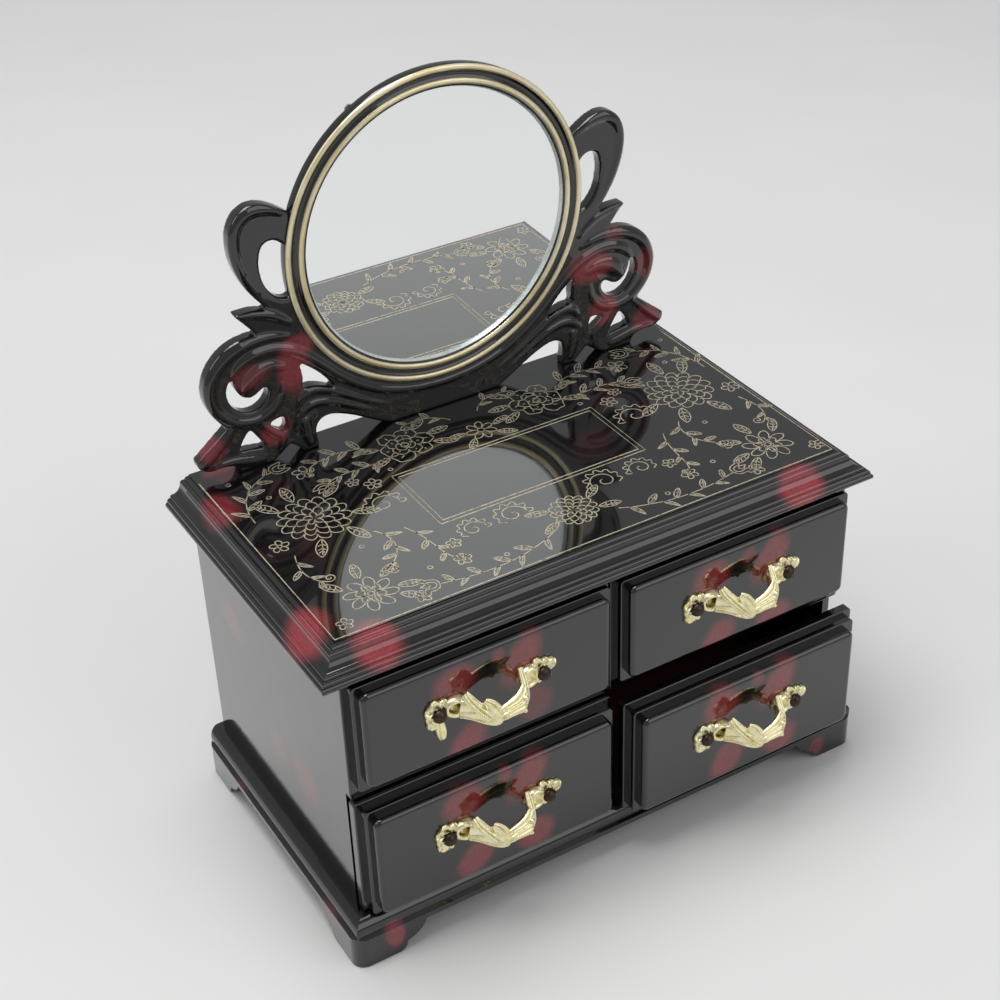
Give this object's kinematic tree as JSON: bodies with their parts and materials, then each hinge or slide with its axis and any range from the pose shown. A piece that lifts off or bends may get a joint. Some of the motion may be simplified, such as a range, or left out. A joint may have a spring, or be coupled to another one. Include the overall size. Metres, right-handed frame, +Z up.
{
  "type": "vanity box with mirror",
  "caption": "Black lacquered vanity box on bracket feet, with small drawers, gilt bow pulls and a round mirror held in a pierced scroll stand on its lid.",
  "frame": {"origin": "middle of the overall bounding box in plan, on the surface the feet stand on", "axes": "+X to the right seen from the drawers' side, +Y from the drawers to the mirror, +Z up; the drawers pull out along -Y"},
  "size_m": [0.23, 0.1544, 0.2764],
  "materials": {
    "lacquer_black": "high-gloss black lacquer over moulded parts",
    "lacquered_board": "thin board with gloss black lacquer",
    "mirror": "silvered glass",
    "backing_card": "plain grey-brown card",
    "cover_black": "satin black",
    "steel": "zinc-plated screws and nuts",
    "tray_wood": "dark stained thin wood",
    "flock_red": "red flocked lining",
    "gilt": "pale gold plating with dark crevices",
    "pin_dark": "dark bronze domed heads"
  },
  "bodies": {
    "case": {"base": "lacquer_black", "lid": "lacquer_black", "mirror_frame": "lacquer_black", "side_panel_left": "lacquered_board", "side_panel_right": "lacquered_board", "back_panel": "lacquered_board", "shelf": "lacquered_board", "divider_lower": "lacquered_board", "divider_upper": "lacquered_board", "top_board": "lacquered_board", "mirror_glass": "mirror", "mirror_backing": "backing_card", "mirror_back_cover": "cover_black", "lid_screws": "steel", "stand_screws": "steel", "mirror_cover_screws": "steel"},
    "drawer_lower_left": {"drawer_front_lower_left": "lacquer_black", "drawer_tray_lower_left": "tray_wood", "drawer_liner_lower_left": "flock_red", "pull_lower_left": "gilt", "pull_pins_lower_left": "pin_dark", "pull_nuts_lower_left": "steel"},
    "drawer_lower_right": {"drawer_front_lower_right": "lacquer_black", "drawer_tray_lower_right": "tray_wood", "drawer_liner_lower_right": "flock_red", "pull_lower_right": "gilt", "pull_pins_lower_right": "pin_dark", "pull_nuts_lower_right": "steel"},
    "drawer_upper_left": {"drawer_front_upper_left": "lacquer_black", "drawer_tray_upper_left": "tray_wood", "drawer_liner_upper_left": "flock_red", "pull_upper_left": "gilt", "pull_pins_upper_left": "pin_dark", "pull_nuts_upper_left": "steel"},
    "drawer_upper_right": {"drawer_front_upper_right": "lacquer_black", "drawer_tray_upper_right": "tray_wood", "drawer_liner_upper_right": "flock_red", "pull_upper_right": "gilt", "pull_pins_upper_right": "pin_dark", "pull_nuts_upper_right": "steel"}
  },
  "joints": [
    {"name": "drawer_lower_left_slide", "type": "slide", "parent": "case", "child": "drawer_lower_left", "axis": [0, -1, 0], "range_m": [-0.002, 0.083]},
    {"name": "drawer_lower_right_slide", "type": "slide", "parent": "case", "child": "drawer_lower_right", "axis": [0, -1, 0], "range_m": [-0.009, 0.076]},
    {"name": "drawer_upper_left_slide", "type": "slide", "parent": "case", "child": "drawer_upper_left", "axis": [0, -1, 0], "range_m": [0, 0.085]},
    {"name": "drawer_upper_right_slide", "type": "slide", "parent": "case", "child": "drawer_upper_right", "axis": [0, -1, 0], "range_m": [0, 0.085]}
  ]
}
